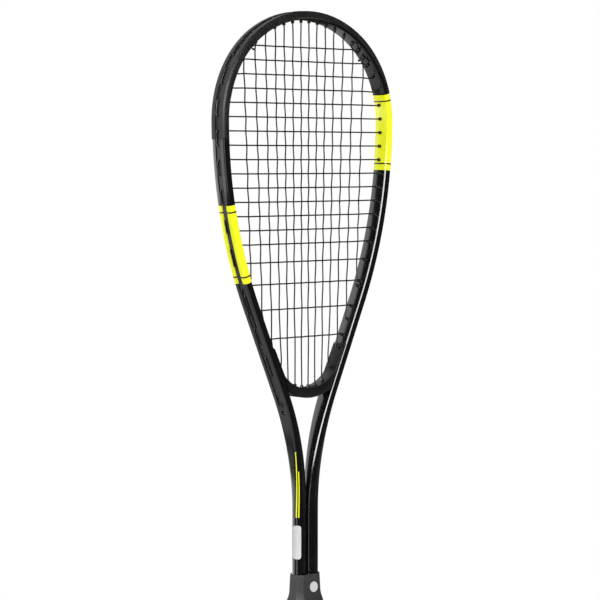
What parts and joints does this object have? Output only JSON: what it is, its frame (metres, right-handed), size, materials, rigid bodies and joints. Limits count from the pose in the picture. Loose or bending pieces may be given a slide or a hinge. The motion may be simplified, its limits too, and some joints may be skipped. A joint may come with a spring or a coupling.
{
  "type": "squash racket",
  "caption": "Hairpin-tube squash racket with an oval strung head, open throat with a bridge, long twin-tube shaft and a wrapped octagonal grip with a rubber collar.",
  "frame": {"origin": "middle of the butt end's face, where the handle ends", "axes": "+Z along the racket's axis from the butt to the head, +X across the head in the strings' plane, -Y out of the front face"},
  "size_m": [0.2044, 0.03, 0.686],
  "materials": {
    "frame_gloss_black": "high gloss black paint on aluminium tube",
    "bridge_plastic": "satin black moulded plastic",
    "guard_plastic": "matte dark grey moulded nylon",
    "grommet_plastic": "satin black moulded nylon",
    "string_black": "black nylon string, slightly waxy",
    "pallet_plastic": "as-moulded dark grey plastic",
    "grip_pu": "perforated soft polyurethane wrap",
    "finishing_tape": "black vinyl tape",
    "butt_plastic": "satin black plastic",
    "badge_grey": "plain grey inset badge",
    "collar_rubber": "satin grey rubber",
    "badge_white": "plain white domed sticker",
    "label_white": "plain white film label",
    "neon_yellow": "neon yellow print under clear lacquer",
    "pinstripe_black": "black print under clear lacquer"
  },
  "bodies": {
    "root": {"frame_tube": "frame_gloss_black", "throat_bridge": "bridge_plastic", "head_guard": "guard_plastic", "grommet_strip_left": "grommet_plastic", "grommet_strip_right": "grommet_plastic", "bridge_grommets": "grommet_plastic", "main_string": "string_black", "cross_string": "string_black", "tie_off_knots": "string_black", "handle_pallet_front": "pallet_plastic", "handle_pallet_back": "pallet_plastic", "grip_wrap": "grip_pu", "grip_finishing_tape": "finishing_tape", "butt_cap": "butt_plastic", "butt_badge": "badge_grey", "grip_collar": "collar_rubber", "collar_badge": "badge_white", "shaft_label": "label_white", "shaft_accent": "neon_yellow", "yellow_band_left": "neon_yellow", "yellow_band_right": "neon_yellow", "band_pinstripes": "pinstripe_black"}
  },
  "joints": []
}
